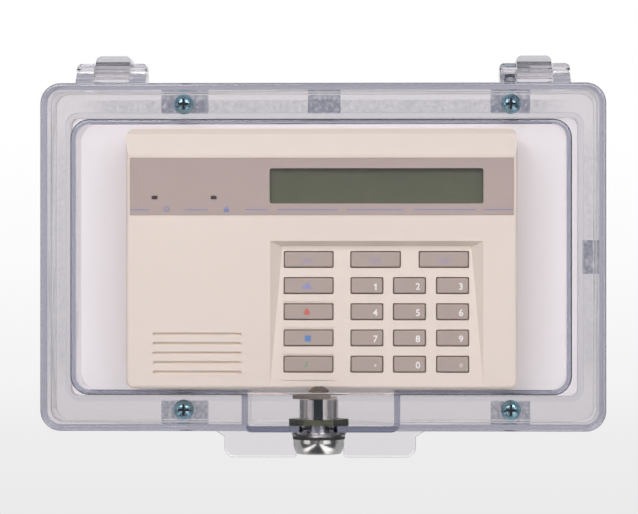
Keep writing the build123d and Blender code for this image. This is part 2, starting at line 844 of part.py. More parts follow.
# Keypad housing
with BuildPart() as keypad_housing:
    with BuildSketch(front_plane(keypad_back)):
        with Locations(keypad_centre):
            RectangleRounded(keypad_width, keypad_height, keypad_corner)
    extrude(amount=keypad_front - keypad_back)
    fillet(keypad_housing.faces().sort_by(Axis.Y)[0].edges(), keypad_edge_round)
    # The header slopes back above the overlay and ends in a bevel
    with BuildSketch(side_plane(keypad_centre[0])):
        with BuildLine():
            Polyline(
                (keypad_front, header_bottom),
                (keypad_front - header_setback, keypad_top - header_bevel),
                (keypad_front - header_setback - header_bevel, keypad_top),
                (keypad_front, keypad_top),
                close=True,
            )
        make_face()
    extrude(amount=keypad_width / 2, both=True, mode=Mode.SUBTRACT)
    # Hollow, following the header's slope
    with BuildSketch(side_plane(keypad_centre[0])):
        with BuildLine():
            Polyline(
                (keypad_back, keypad_bottom + keypad_wall),
                (cavity_front, keypad_bottom + keypad_wall),
                (cavity_front, header_bottom - keypad_wall),
                (cavity_front - header_setback - header_bevel, keypad_top - keypad_wall),
                (keypad_back, keypad_top - keypad_wall),
                close=True,
            )
        make_face()
    extrude(amount=keypad_width / 2 - keypad_wall, both=True, mode=Mode.SUBTRACT)
    # The key well: its sloping floor behind, then the well itself
    with BuildSketch(side_plane(well_mid_x)):
        with BuildLine():
            Polyline(
                (keypad_front, well_top + keypad_wall),
                (keypad_front - well_depth - well_wall, well_top + keypad_wall),
                (keypad_front - well_depth - well_wall, well_top),
                (keypad_front - well_wall, well_bottom),
                (keypad_front, well_bottom),
                close=True,
            )
        make_face()
    extrude(amount=well_width / 2 + keypad_wall, both=True)
    add(key_well.part, mode=Mode.SUBTRACT)
    with BuildSketch(well_plane):
        for x, y, width in keys.values():
            with Locations((x, y)):
                RectangleRounded(
                    width + 2 * key_clearance, key_height + 2 * key_clearance, key_corner
                )
    extrude(amount=-2 * well_wall, mode=Mode.SUBTRACT)
    # Bars that part the function keys
    with BuildSketch(well_plane):
        with Locations(*bar_places):
            Rectangle(bar_width, bar_height)
    extrude(amount=bar_rise)
    # Posts for the board behind the keys
    with BuildSketch(well_plane.offset(mat_back)):
        with Locations(*post_places):
            Circle(post_diameter / 2)
    extrude(amount=-mat_back - well_wall / 2)
    with BuildSketch(well_plane.offset(mat_back)):
        with Locations(*post_places):
            Circle(board_screw_shank / 2 + screw_thread_clearance)
    extrude(amount=board_screw_length - board_thickness, mode=Mode.SUBTRACT)
    # Seat of the overlay, opening of the display, lamp holes and the grille's grooves
    with BuildSketch(front_plane(keypad_front - overlay_thickness)):
        with Locations(overlay_centre):
            Rectangle(overlay_width, overlay_height)
    extrude(amount=2 * overlay_thickness, mode=Mode.SUBTRACT)
    with BuildSketch(front_plane(cavity_front)):
        with Locations(display_centre):
            RectangleRounded(display_width, display_height, display_corner)
        with Locations(*lamp_places):
            Rectangle(lamp_width + 2 * lamp_clearance, lamp_height + 2 * lamp_clearance)
    extrude(amount=2 * keypad_wall, mode=Mode.SUBTRACT)
    with BuildSketch(front_plane(keypad_front - slot_depth)):
        with Locations(*slot_places):
            SlotOverall(slot_width, slot_height)
    extrude(amount=2 * slot_depth, mode=Mode.SUBTRACT)
    # Ring that holds the speaker behind the grille
    with BuildSketch(front_plane(cavity_front - speaker_ring_height)):
        with Locations(speaker_place):
            Circle(speaker_diameter / 2 + speaker_clearance + speaker_ring_wall)
            Circle(speaker_diameter / 2 + speaker_clearance, mode=Mode.SUBTRACT)
    extrude(amount=speaker_ring_height)
keypad_housing.part.label = "keypad_housing"
export_step(keypad_housing.part, "parts/keypad_housing.step")

# Printed overlay round the display
with BuildPart() as keypad_overlay:
    with BuildSketch(front_plane(keypad_front - overlay_thickness)):
        with Locations(overlay_centre):
            Rectangle(overlay_width - 2 * overlay_clearance, overlay_height - 2 * overlay_clearance)
        with Locations(display_centre):
            RectangleRounded(display_width, display_height, display_corner, mode=Mode.SUBTRACT)
        with Locations(*lamp_places):
            Rectangle(
                lamp_width + 2 * lamp_clearance, lamp_height + 2 * lamp_clearance, mode=Mode.SUBTRACT
            )
    extrude(amount=overlay_thickness)
keypad_overlay.part.label = "keypad_overlay"
export_step(keypad_overlay.part, "parts/keypad_overlay.step")

# Display window, pushed into its opening from behind as far as its lip
display_front = keypad_front - display_setback
lip_back = cavity_front - display_lip_thickness
with BuildPart() as display_window:
    with BuildSketch(front_plane(lip_back)):
        with Locations(display_centre):
            Rectangle(display_width + 2 * display_lip, display_height + 2 * display_lip)
    extrude(amount=display_lip_thickness)
    with BuildSketch(front_plane(cavity_front)):
        with Locations(display_centre):
            RectangleRounded(
                display_width - 2 * display_clearance,
                display_height - 2 * display_clearance,
                display_corner - display_clearance,
            )
    extrude(amount=display_front - cavity_front)
display_window.part.label = "display_window"
export_step(display_window.part, "parts/display_window.step")

# Display behind the window
with BuildPart() as lcd_module:
    with BuildSketch(front_plane(lip_back - lcd_gap)):
        with Locations(display_centre):
            Rectangle(display_width + 2 * lcd_margin, display_height + 2 * lcd_margin)
    extrude(amount=-lcd_thickness)
lcd_module.part.label = "lcd_module"
export_step(lcd_module.part, "parts/lcd_module.step")

# Lamps
with BuildPart() as indicator_lamps:
    with BuildSketch(front_plane(keypad_front + lamp_proud)):
        with Locations(*lamp_places):
            Rectangle(lamp_width, lamp_height)
    extrude(amount=-lamp_length)
indicator_lamps.part.label = "indicator_lamps"
export_step(indicator_lamps.part, "parts/indicator_lamps.step")

# Speaker
with BuildPart() as speaker:
    with BuildSketch(front_plane(cavity_front - speaker_clearance)):
        with Locations(speaker_place):
            Circle(speaker_diameter / 2)
    extrude(amount=-speaker_depth)
    chamfer(speaker.faces().sort_by(Axis.Y)[-1].edges(), speaker_cone_depth)
speaker.part.label = "speaker"
export_step(speaker.part, "parts/speaker.step")

# Rubber mat with a pad behind each key
mat_span = (
    post_places[0][0] + post_diameter / 2 + mat_margin,
    post_places[-1][0] - post_diameter / 2 - mat_margin,
    post_places[-1][1],
    post_places[0][1],
)
mat_centre = ((mat_span[0] + mat_span[1]) / 2, (mat_span[2] + mat_span[3]) / 2)
with BuildPart() as key_mat:
    with BuildSketch(well_plane.offset(mat_back)):
        with Locations(mat_centre):
            Rectangle(mat_span[1] - mat_span[0], mat_span[3] - mat_span[2] + 2 * mat_margin)
    extrude(amount=mat_thickness)
    with BuildSketch(well_plane.offset(mat_front)):
        for x, y, width in keys.values():
            with Locations((x, y)):
                Circle(mat_pad_diameter / 2)
    extrude(amount=mat_pad_height)
key_mat.part.label = "key_mat"
export_step(key_mat.part, "parts/key_mat.step")

# Circuit board behind the mat
with BuildPart() as circuit_board:
    with BuildSketch(well_plane.offset(board_back)):
        with Locations((well_mid_x, mat_centre[1])):
            Rectangle(
                well_width + 2 * board_margin, mat_span[3] - mat_span[2] + post_diameter + board_margin
            )
        with Locations(*post_places):
            Circle(board_screw_shank / 2 + screw_thread_clearance, mode=Mode.SUBTRACT)
    extrude(amount=board_thickness)
circuit_board.part.label = "circuit_board"
export_step(circuit_board.part, "parts/circuit_board.step")

# Screws from behind the board into the housing's posts
board_screw = pan_screw(
    board_screw_head,
    board_screw_head_height,
    board_screw_shank,
    board_screw_length,
    board_screw_drive,
)
board_rear = Plane(
    origin=well_plane.offset(board_back).origin, x_dir=(1, 0, 0), z_dir=-well_plane.z_dir
)
with BuildPart() as board_screws:
    with Locations(board_rear):
        with Locations(*[(x, -y) for x, y in post_places]):
            add(board_screw)
board_screws.part.label = "board_screws"
export_step(board_screws.part, "parts/board_screws.step")

# Keys, each with a flange behind the well's floor that keeps it in
for key_name, (key_x, key_y, key_width) in keys.items():
    with BuildPart() as key:
        with BuildSketch(well_plane.offset(flange_back)):
            with Locations((key_x, key_y)):
                Rectangle(key_width + 2 * key_flange, key_height + 2 * key_flange)
        extrude(amount=key_flange_thickness)
        with BuildSketch(well_plane.offset(flange_front)):
            with Locations((key_x, key_y)):
                RectangleRounded(key_width, key_height, key_corner)
        extrude(amount=key_rise - flange_front)
        fillet(key.faces().sort_by(Axis(well_plane.origin, well_plane.z_dir))[-1].edges(), key_round)
    key.part.label = key_name
    export_step(key.part, f"parts/{key_name}.step")
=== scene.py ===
import math

import bmesh
import bpy
from mathutils import Matrix, Vector


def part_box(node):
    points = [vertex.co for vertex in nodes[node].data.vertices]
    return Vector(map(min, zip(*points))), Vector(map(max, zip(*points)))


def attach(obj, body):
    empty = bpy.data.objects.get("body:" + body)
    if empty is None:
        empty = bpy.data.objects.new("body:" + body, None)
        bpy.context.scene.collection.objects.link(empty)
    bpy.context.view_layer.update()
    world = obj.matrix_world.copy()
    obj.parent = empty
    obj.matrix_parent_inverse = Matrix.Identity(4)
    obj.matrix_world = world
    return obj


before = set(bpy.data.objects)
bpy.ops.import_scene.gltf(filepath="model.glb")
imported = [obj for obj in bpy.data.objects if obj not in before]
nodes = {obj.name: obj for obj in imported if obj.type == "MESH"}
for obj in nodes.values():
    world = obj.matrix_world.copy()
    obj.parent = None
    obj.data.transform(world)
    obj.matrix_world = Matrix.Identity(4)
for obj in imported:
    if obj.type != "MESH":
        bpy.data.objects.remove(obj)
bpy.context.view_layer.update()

# Mounting frame: the clear moulded base that is screwed to the wall, with a wall round its edge,
# a second wall round the backing plate, blocks and bosses for the screws, and the hinge knuckles.
# It is polycarbonate: glassy, a little wavy where it cooled, and cloudy where the mould is coarse.
mm = 0.001


class Wire:
    """One output of a shader node. Python's operators on it add Math nodes."""

    def __init__(self, tree, socket=None):
        self.tree = tree
        self.socket = socket

    def node(self, kind, settings=None, **values):
        """Adds a node, sets it up, then fills its sockets: by name, with _ for a space,
        or by their order, as s0, s1 and s2."""
        made = self.tree.nodes.new("ShaderNode" + kind)
        for name, value in (settings or {}).items():
            if name == "stops":
                stops = made.color_ramp.elements
                stops[0].position, stops[0].color = value[0]
                stops[1].position, stops[1].color = value[-1]
                for at, colour in value[1:-1]:
                    stops.new(at).color = colour
            else:
                setattr(made, name, value)
        in_order = [s for s in made.inputs if s.enabled]
        by_name = {s.name: s for s in reversed(in_order)}
        for name, value in values.items():
            numbered = name[1:].isdigit()
            socket = in_order[int(name[1:])] if numbered else by_name[name.replace("_", " ")]
            if isinstance(value, Wire):
                self.tree.links.new(value.socket, socket)
            else:
                socket.default_value = value
        return Wire(self.tree, next(s for s in made.outputs if s.enabled))

    def __getitem__(self, name):
        return Wire(self.tree, self.socket.node.outputs[name])

    def _math(self, operation, first, second):
        return self.node("Math", {"operation": operation}, s0=first, s1=second)

    def __add__(self, other):
        return self._math("ADD", self, other)

    __radd__ = __add__

    def __sub__(self, other):
        return self._math("SUBTRACT", self, other)

    def __rsub__(self, other):
        return self._math("SUBTRACT", other, self)

    def __mul__(self, other):
        return self._math("MULTIPLY", self, other)

    __rmul__ = __mul__

    def __truediv__(self, other):
        return self._math("DIVIDE", self, other)

    def __rtruediv__(self, other):
        return self._math("DIVIDE", other, self)

    def __gt__(self, other):
        return self._math("GREATER_THAN", self, other)

    def __lt__(self, other):
        return self._math("LESS_THAN", self, other)

    def __abs__(self):
        return self.node("Math", {"operation": "ABSOLUTE"}, s0=self)

    def most(self, other):
        return self._math("MAXIMUM", self, other)

    def least(self, other):
        return self._math("MINIMUM", self, other)

    def folded(self, pitch):
        """Rises from 0 to the pitch and falls back to 0, over and over."""
        return self._math("PINGPONG", self, pitch)

    def ramp(self, low, high, first=0.0, last=1.0):
        """The first number where this is low, the last where it is high, and level beyond."""
        return self.node("MapRange", Value=self, From_Min=low, From_Max=high,
                         To_Min=first, To_Max=last)

    def place(self, stretch=(1, 1, 1)):
        """The point on the object, in metres, stretched for a grain that runs one way."""
        point = self.node("TexCoord")["Object"]
        return self.node("VectorMath", {"operation": "MULTIPLY"}, s0=point, s1=stretch)

    def axes(self):
        """The same point, to be read as its X, Y or Z."""
        return self.node("SeparateXYZ", Vector=self.place())

    def noise(self, scale, detail=2.0, stretch=(1, 1, 1)):
        return self.node("TexNoise", Vector=self.place(stretch), Scale=scale, Detail=detail)

    def blend(self, mask, first, second):
        """From the first colour where the mask is 0 to the second where it is 1."""
        return self.node("Mix", {"data_type": "RGBA"}, Factor=mask, A=first, B=second)

    def bumps(self, height, strength, distance):
        return self.node("Bump", Height=height, Strength=strength, Distance=distance)

    def either(self, mask, first, second):
        """The first shader where the mask is 0, and the second where it is 1."""
        return self.node("MixShader", s0=mask, s1=first, s2=second)


def linear(red, green, blue):
    """A colour as a screen shows it, 0 to 255, in the linear numbers that a shader takes."""
    tones = [v / 255 for v in (red, green, blue)]
    return tuple(v / 12.92 if v <= 0.04045 else ((v + 0.055) / 1.055) ** 2.4 for v in tones) + (1,)


def new_finish(name, **values):
    """A material with its fixed values set, the wire that starts its maths, and its shader."""
    material = bpy.data.materials.new(name)
    material.use_nodes = True
    shader = material.node_tree.nodes["Principled BSDF"]
    for spoken, value in values.items():
        shader.inputs[spoken.replace("_", " ")].default_value = value
    return material, Wire(material.node_tree), shader


def feed(wire, node, name):
    wire.tree.links.new(wire.socket, node.inputs[name])


def stand_in(start, shader, mask, other):
    """Where the mask is 1, another shader stands in for the finish's own."""
    own = Wire(start.tree, shader.outputs["BSDF"])
    feed(start.either(mask, own, other), start.tree.nodes["Material Output"], "Surface")


def dress(material, *names):
    for name in names:
        slots = nodes[name].material_slots
        if not slots:
            nodes[name].data.materials.append(material)
        for held in slots:
            held.material = material


edge_tone = (0.40, 0.44, 0.565, 1)
# The grey blue of the cloudy blocks, also used as painted shade on the frame's channel floor
cloud_and_shade_tone = (0.29, 0.305, 0.37, 1)
speck_height = 0.004
scuff_threshold = 0.72
scuff_dullness = 0.06
ripple_height = 0.05
cloud_and_shade_dullness = 0.12
cloud_and_shade_gain = 1.9
cloud_and_shade_cut = 0.32


def clear_plastic(name, tint, roughness, edge_density, cloud_and_shade=None):
    """Clear polycarbonate: its cut edges, where light runs along inside it, look blue grey.
    Shadow and diffuse rays pass it freely, so what is behind it isn't left in the dark.
    An optional map gives the places that came out of the mould with a rough, cloudy face, and the
    painted shade on the frame's channel floor, which is also made greyer and rougher."""
    material, start, shader = new_finish(
        name, Base_Color=tint, Roughness=roughness, IOR=1.585, Transmission_Weight=1.0
    )
    flow = start.noise(scale=14.0, stretch=(1, 1.6, 1))
    specks = start.noise(scale=900.0, detail=1.0)
    scuffs = start.noise(scale=260.0, detail=3.0, stretch=(1, 1, 6)) > scuff_threshold
    height = flow + speck_height * specks
    dull = roughness + scuff_dullness * scuffs
    if cloud_and_shade:
        cloudy_and_shaded = cloud_and_shade(start.axes())
        ripple = start.noise(scale=520.0, detail=3.0)
        height = height + ripple_height * cloudy_and_shaded * ripple
        dull = dull + cloud_and_shade_dullness * cloudy_and_shaded
        # Toward the grey blue: the cloudy blocks, and painted shade on the channel floor
        cloud_and_shade_share = cloudy_and_shaded * (cloud_and_shade_gain * ripple - cloud_and_shade_cut)
        feed(start.blend(cloud_and_shade_share, tint, cloud_and_shade_tone), shader, "Base Color")
    feed(start.bumps(height, strength=0.22, distance=1.2 * mm), shader, "Normal")
    feed(dull, shader, "Roughness")
    rays = start.node("LightPath")
    passes = rays["Is Shadow Ray"].most(rays["Is Diffuse Ray"])
    stand_in(start, shader, passes, start.node("BsdfTransparent", Color=(1, 1, 1, 1)))
    body = start.node("VolumeAbsorption", Color=edge_tone, Density=edge_density)
    feed(body, start.tree.nodes["Material Output"], "Volume")
    return material


# The channel between the two walls, and the cloudy blocks that stand in it
channel_x = (116.2 * mm, 120.9 * mm)
channel_z = (64.7 * mm, 73.1 * mm)
screw_blocks_x = ((-73.3 * mm, -52.5 * mm), (74.9 * mm, 92.5 * mm))
top_block_x = (-7.3 * mm, 7.3 * mm)
side_block_z = (-7.6 * mm, 7.6 * mm)
# The channel's floor, which gets a little painted shade that clears before the corners
floor_top_z = (64.7 * mm, 71.0 * mm)
floor_end_x = 104 * mm
floor_end_z = 52 * mm
floor_edge = 0.3 * mm
floor_fade = 8 * mm
# How much painted shade the channel's floor gets, at the top and at the sides
floor_top_shade = 0.45
floor_side_shade = 0.28


def between(value, span):
    """1 where a value lies between the two ends of a span."""
    return (value > span[0]) * (value < span[1])


def within(value, low, high, blur):
    """1 where a value lies between two others, with soft edges."""
    return value.ramp(low - blur, low + blur) * value.ramp(high - blur, high + blur, 1.0, 0.0)


def frame_blocks(point):
    """1 in the blocks between the frame's two walls: at the screws, the top middle and the right.
    The channel's floor beside them gets a little painted shade, at the top and the sides."""
    x, z = point["X"], point["Z"]
    at_screws = sum(between(x, span) for span in screw_blocks_x) * between(abs(z), channel_z)
    at_top = between(x, top_block_x) * between(z, channel_z)
    at_right = between(x, channel_x) * between(z, side_block_z)
    top_floor = within(z, *floor_top_z, floor_edge)
    top_floor = top_floor * within(x, -floor_end_x, floor_end_x, floor_fade)
    side_floor = within(abs(x), *channel_x, floor_edge)
    side_floor = side_floor * within(z, -floor_end_z, floor_end_z, floor_fade)
    blocks = at_screws + at_top + at_right
    # The blocks are cloudy mould; the floor's share is painted shade
    return blocks + floor_top_shade * top_floor + floor_side_shade * side_floor


frame_tint = linear(244, 241, 242)
frame_plastic = clear_plastic(
    "clear_frame", frame_tint, roughness=0.012, edge_density=20.0, cloud_and_shade=frame_blocks
)
dress(frame_plastic, "mounting_frame")

# Backing plate: a pale smooth sheet let into the frame behind the keypad, with a hole for the
# cable. It is white styrene with a faint satin, and the cover makes it look a cool pinkish grey.
plate_tones = (linear(250, 246, 247), linear(246, 241, 243))
material, start, shader = new_finish("pale_plate", Roughness=0.42, Specular_IOR_Level=0.35)
feed(start.blend(start.noise(scale=9.0, detail=3.0), *plate_tones), shader, "Base Color")
feed(start.bumps(start.noise(scale=1800.0), strength=0.08, distance=0.1 * mm), shader, "Normal")
dress(material, "backing_plate")

# Wall screws and the small screws inside: zinc plated steel with domed heads, bright but slightly
# blue, with fine marks over them. The crosses of the wall screws are painted dark as shade.
# Painted shade for recesses: the crosses of the wall screws and the groove of the lock barrel
painted_shade_tone = linear(38, 46, 50)
recess_dullness = 0.25
mark_shine = 0.05
mark_dullness = 0.16


def plated(name, light, dark, roughness, hollow=None):
    """Plated or polished metal: two tones of one colour, and fine marks that catch the light.
    A hollow gives the recesses that are painted dark as shade and made duller."""
    material, start, shader = new_finish(name, Metallic=1.0, Roughness=roughness)
    marks = start.noise(scale=2600.0)
    tone = start.blend(start.noise(scale=420.0, detail=3.0), light, dark)
    dull = roughness - mark_shine + mark_dullness * marks
    if hollow:
        inside = hollow(start.axes())
        tone = start.blend(inside, tone, painted_shade_tone)
        dull = dull + recess_dullness * inside
    feed(tone, shader, "Base Color")
    feed(dull, shader, "Roughness")
    feed(start.bumps(marks, strength=0.06, distance=0.08 * mm), shader, "Normal")
    return material


zinc_tones = (linear(168, 210, 226), linear(114, 154, 168))
head_radius = 4.55 * mm
cross_radius = 2.65 * mm
cross_start = 0.5 * mm
screws_low, screws_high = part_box("wall_screws")


def cross_recess(point):
    """1 in the cross of a wall screw: near its axis, and below the top of its dome."""
    from_left = point["X"] - (screws_low.x + head_radius)
    from_right = point["X"] - (screws_high.x - head_radius)
    across = (from_left * from_left).least(from_right * from_right)
    up = abs(point["Z"]) - (screws_high.z - head_radius)
    return (across + up * up < cross_radius ** 2) * (point["Y"] > screws_low.y + cross_start)


# The crosses of the wall screws get painted shade
zinc_heads = plated("zinc_heads", *zinc_tones, roughness=0.13, hollow=cross_recess)
dress(zinc_heads, "wall_screws")
dress(plated("zinc_plate", *zinc_tones, roughness=0.2), "keypad_screws", "board_screws")

# Hinge pins: clear plastic rods through the cover's ears and the frame's knuckles, turned and
# pushed in, with a slightly duller skin than the mouldings they join.
pin_tint = linear(236, 234, 236)
pin_plastic = clear_plastic("clear_pins", pin_tint, roughness=0.06, edge_density=20.0)
dress(pin_plastic, "hinge_pin_left", "hinge_pin_right")

# Cover: the clear moulded lid with its shoulder, window, lock bay, lift tabs and hinge ears.
# The same polycarbonate as the frame, polished in the mould and a little scuffed in use.
cover_tint = linear(249, 246, 247)
cover_plastic = clear_plastic("clear_cover", cover_tint, roughness=0.008, edge_density=36.0)
dress(cover_plastic, "cover_shell")

# Cam lock: a nickel plated head and barrel, a black rubber ring under the head, a thin olive
# plated nut inside the bay, and the plug, cam and screw that turn with the key.
nickel_tones = (linear(216, 214, 211), linear(196, 194, 192))
plug_tones = (linear(204, 202, 196), linear(176, 174, 168))
cam_tones = (linear(150, 140, 132), linear(112, 102, 94))
olive_tones = (linear(112, 114, 90), linear(78, 82, 62))
rubber_tones = (linear(34, 34, 34), linear(58, 58, 57))
lock_low, lock_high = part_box("lock_body")
lock_centre = (lock_low + lock_high) / 2
groove_y = lock_centre.y - 7.3 * mm
groove_floor = (groove_y - 0.1 * mm, groove_y + 0.1 * mm)
groove_half = 2.05 * mm


def barrel_groove(point):
    """1 on the floor of the groove along the front of the barrel, above the head."""
    across = abs(point["X"] - lock_centre.x)
    return (across < groove_half) * between(point["Y"], groove_floor)


# The floor of the groove along the barrel gets painted shadow
nickel = plated("nickel_lock", *nickel_tones, roughness=0.15, hollow=barrel_groove)
dress(nickel, "lock_body")
dress(plated("nickel_plug", *plug_tones, roughness=0.17), "lock_plug")
dress(plated("cam_zinc", *cam_tones, roughness=0.34), "lock_cam", "cam_screw")
dress(plated("olive_zinc", *olive_tones, roughness=0.28), "lock_nut")
material, start, shader = new_finish("ring_rubber", Roughness=0.62, Specular_IOR_Level=0.3)
feed(start.blend(start.noise(scale=700.0, detail=3.0), *rubber_tones), shader, "Base Color")
feed(start.bumps(start.noise(scale=2400.0), strength=0.15, distance=0.1 * mm), shader, "Normal")
dress(material, "lock_washer")

# Keypad case: a housing that clips over a base, both moulded in warm beige ABS with a fine
# spark texture. Its tone is a little uneven, as such plastic gets with the years.
beige_tones = (linear(242, 230, 217), linear(237, 223, 211))


def pebbles(start, scale):
    """The small cells that a spark eroded mould leaves, as a height."""
    return start.node("TexVoronoi", Vector=start.place(), Scale=scale)["Distance"]


def moulded(name, light, dark, roughness, grain, scale):
    """Textured moulded plastic: a faint drift of tone, and a fine pebbled surface."""
    material, start, shader = new_finish(name, Roughness=roughness, Specular_IOR_Level=0.4)
    drift = 0.7 * start.noise(scale=11.0) + 0.3 * start.noise(scale=650.0)
    feed(start.blend(drift, light, dark), shader, "Base Color")
    feed(start.bumps(pebbles(start, scale), grain, distance=0.12 * mm), shader, "Normal")
    feed(roughness - 0.06 + 0.12 * drift, shader, "Roughness")
    return material


beige = moulded("beige_case", *beige_tones, roughness=0.46, grain=0.25, scale=2100.0)
dress(beige, "keypad_housing", "keypad_base")

# Overlay: a thin taupe film stuck round the display, brushed in fine level lines. A broken blue
# rule runs along its bottom, with a small sign under each lamp, all of them screen printed.
taupe_tones = (linear(192, 175, 168), linear(175, 157, 150))
material, start, shader = new_finish("taupe_film", Roughness=0.4, Specular_IOR_Level=0.45)
brushed = start.noise(scale=30.0, detail=3.0, stretch=(1, 1, 90))
fine = start.noise(scale=120.0, stretch=(1, 1, 40))
lines = 0.6 * brushed + 0.4 * fine
feed(start.blend(lines, *taupe_tones), shader, "Base Color")
feed(start.bumps(lines, strength=0.12, distance=0.08 * mm), shader, "Normal")
dress(material, "keypad_overlay")

print_height = 0.06 * mm
ink_share = 0.82
under_ink = 0.5


def ink(name, colour):
    """Screen printed ink: nearly flat, and thin enough that its tone breaks up a little."""
    material, start, shader = new_finish(name, Roughness=0.5, Specular_IOR_Level=0.3)
    cover = start.noise(scale=3200.0, detail=3.0)
    thin = tuple(ink_share * v + (1 - ink_share) * under_ink for v in colour[:3]) + (1,)
    feed(start.blend(cover, colour, thin), shader, "Base Color")
    feed(start.bumps(cover, strength=0.1, distance=0.03 * mm), shader, "Normal")
    return material


def add_object(name, data):
    added = bpy.data.objects.new(name, data)
    bpy.context.scene.collection.objects.link(added)
    return added


def printed(name, outlines, plane, material, body):
    """Flat printed shapes of a little thickness. Each outline is a ring of points, in metres
    on the plane."""
    mesh = bmesh.new()
    for outline in outlines:
        lower = [mesh.verts.new(plane @ Vector((x, y, 0))) for x, y in outline]
        upper = [mesh.verts.new(plane @ Vector((x, y, print_height))) for x, y in outline]
        mesh.faces.new(upper)
        mesh.faces.new(list(reversed(lower)))
        for i in range(len(outline)):
            j = (i + 1) % len(outline)
            mesh.faces.new([lower[i], lower[j], upper[j], upper[i]])
    bmesh.ops.recalc_face_normals(mesh, faces=mesh.faces)
    data = bpy.data.meshes.new(name)
    mesh.to_mesh(data)
    mesh.free()
    data.materials.append(material)
    piece = add_object(name, data)
    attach(piece, body)


def facing(y, x=0.0, z=0.0, tilt=0.0):
    """A plane that faces the viewer at a depth, with its x along X and its y along Z."""
    return Matrix.Translation((x, y, z)) @ Matrix.Rotation(math.pi / 2 - tilt, 4, "X")


def bar(left, right, bottom, top):
    return [(left, bottom), (right, bottom), (right, top), (left, top)]


def arc(x, y, outer, inner, low, high, steps):
    """A curved stroke between two angles in degrees, as short lengths of four corners each."""
    turns = [math.radians(low + (high - low) * k / steps) for k in range(steps + 1)]
    return [
        [(x + r * math.cos(t), y + r * math.sin(t))
         for r, t in ((outer, first), (outer, second), (inner, second), (inner, first))]
        for first, second in zip(turns, turns[1:])
    ]


blue_ink = ink("blue_ink", linear(120, 134, 190))
film_face = facing(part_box("keypad_overlay")[0].y)
rule_z = 20.9 * mm
rule_half = 0.16 * mm
rule_runs = ((-85.1, -76.9), (-61.5, -50.9), (-34.1, -23.9), (-20.4, 6.6), (10.2, 35.8),
             (39.8, 67.6), (71.0, 83.9))
rule = [bar(left * mm, right * mm, rule_z - rule_half, rule_z + rule_half)
        for left, right in rule_runs]
printed("overlay_rule", rule, film_face, blue_ink, "base")

# The signs under the lamps: a ring with a stroke for power, and a padlock for the armed state
sign_z = 21.2 * mm
power_x = -69.2 * mm
power_radius = 1.25 * mm
stroke = 0.2 * mm
power_ring = arc(power_x, sign_z, power_radius, power_radius - 1.8 * stroke, 125, 415, 14)
power_stroke = bar(power_x - stroke, power_x + stroke, sign_z, sign_z + power_radius + stroke)
printed("power_sign", power_ring + [power_stroke], film_face, blue_ink, "base")

armed_x = -42.6 * mm
padlock_half = 1.1 * mm
padlock_bottom = sign_z - 1.3 * mm
padlock_top = sign_z + 0.2 * mm
shackle_z = sign_z + 0.3 * mm
padlock = bar(armed_x - padlock_half, armed_x + padlock_half, padlock_bottom, padlock_top)
shackle = arc(armed_x, shackle_z, 0.8 * mm, 0.5 * mm, 0, 180, 8)
printed("armed_sign", [padlock] + shackle, film_face, blue_ink, "base")

# Display: an unlit reflective display, olive grey, behind a clear window set just under the film.
# Its two lines of sixteen dot cells show only as a breath of darker tone.
glass_tones = (linear(98, 100, 80), linear(90, 91, 73))
cell_tone = linear(74, 76, 62)
cell_darkness = 0.10
cell_pitch_x = 5.0 * mm
cell_gap = 0.35 * mm
line_pitch_z = 6.4 * mm
line_reach = (0.5 * mm, 5.6 * mm)
window_low, window_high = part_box("display_window")
window_middle_z = (window_low.z + window_high.z) / 2
material, start, shader = new_finish("display_glass", Roughness=0.3, Specular_IOR_Level=0.5)
point = start.axes()
across = point["X"].folded(cell_pitch_x / 2)
up = (point["Z"] - window_middle_z).folded(line_pitch_z)
cells = (across > cell_gap) * between(up, line_reach)
sheen = start.noise(scale=7.0)
tone = start.blend(sheen, *glass_tones)
feed(start.blend(cell_darkness * cells, tone, cell_tone), shader, "Base Color")
feed(0.26 + 0.08 * sheen, shader, "Roughness")
dress(material, "lcd_module")

window_tint = linear(236, 238, 230)
wipe_threshold = 0.6
material, start, shader = new_finish(
    "display_window_clear", Base_Color=window_tint, Roughness=0.03, IOR=1.49,
    Transmission_Weight=1.0
)
waves = start.noise(scale=16.0, detail=1.0)
wipes = start.noise(scale=180.0, detail=3.0, stretch=(1, 1, 5))
feed(start.bumps(waves, strength=0.1, distance=0.4 * mm), shader, "Normal")
feed(0.02 + 0.08 * wipes * (wipes > wipe_threshold), shader, "Roughness")
through = start.node("BsdfTransparent", Color=(0.94, 0.94, 0.92, 1))
stand_in(start, shader, start.node("LightPath")["Is Shadow Ray"], through)
dress(material, "display_window")

# Lamps: two small unlit lenses that stand in holes through the film and the housing, of dark
# red plastic that looks nearly black from the front.
lens_tones = (linear(74, 62, 60), linear(52, 40, 40))
material, start, shader = new_finish(
    "lamp_lens", Roughness=0.25, Coat_Weight=0.4, Coat_Roughness=0.1
)
feed(start.blend(start.noise(scale=900.0), *lens_tones), shader, "Base Color")
dress(material, "indicator_lamps")

# Speaker: a small round one, held in a ring behind the grooves of the grille. It is black, with
# a cone of paper that has a coarse fibrous grain.
cone_tones = (linear(66, 60, 56), linear(38, 35, 33))
material, start, shader = new_finish("cone_paper", Roughness=0.85, Specular_IOR_Level=0.2)
fibres = start.noise(scale=1500.0, detail=4.0, stretch=(1, 3, 1))
feed(start.blend(fibres, *cone_tones), shader, "Base Color")
feed(start.bumps(fibres, strength=0.4, distance=0.2 * mm), shader, "Normal")
dress(material, "speaker")

